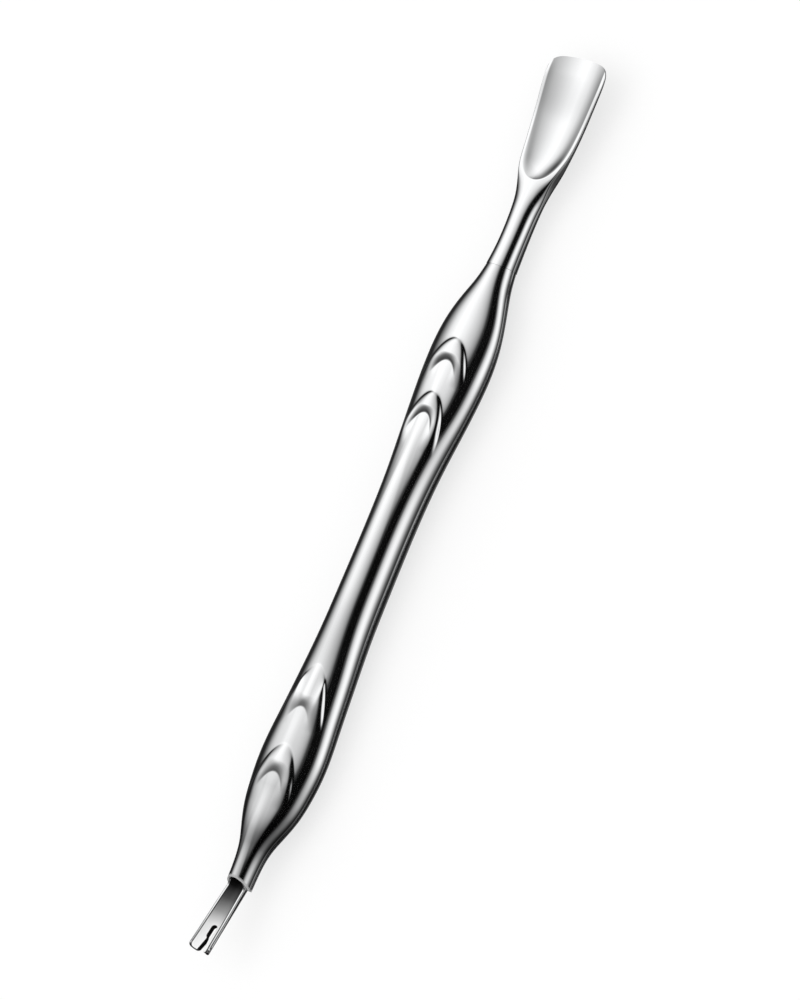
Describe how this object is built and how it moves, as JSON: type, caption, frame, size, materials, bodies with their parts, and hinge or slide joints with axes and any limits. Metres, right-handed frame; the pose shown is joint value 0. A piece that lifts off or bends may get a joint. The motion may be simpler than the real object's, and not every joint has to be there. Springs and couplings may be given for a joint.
{
  "type": "cuticle pusher",
  "caption": "Double-ended cuticle pusher in polished steel: a swelling hollow handle with raised scale shapes, a dished pusher spoon and a slit trimmer trough.",
  "frame": {"origin": "below the middle of the overall length, on the plane that the back of the handle rests on", "axes": "+X along the handle from the trimmer to the spoon, +Y across its width, +Z out of the front face that carries the scales and the dish"},
  "size_m": [0.13, 0.0102, 0.007],
  "materials": {
    "polished_steel": "mirror-polished stainless steel with faint buffing lines",
    "weld_steel": "weld bead, ground just below the surface",
    "braze_filler": "silver braze, wiped smooth"
  },
  "bodies": {
    "root": {"handle_front_shell": "polished_steel", "handle_back_shell": "polished_steel", "seam_weld_left": "weld_steel", "seam_weld_right": "weld_steel", "pusher_spoon": "polished_steel", "pusher_braze": "braze_filler", "trimmer_fork": "polished_steel", "trimmer_braze": "braze_filler"}
  },
  "joints": []
}
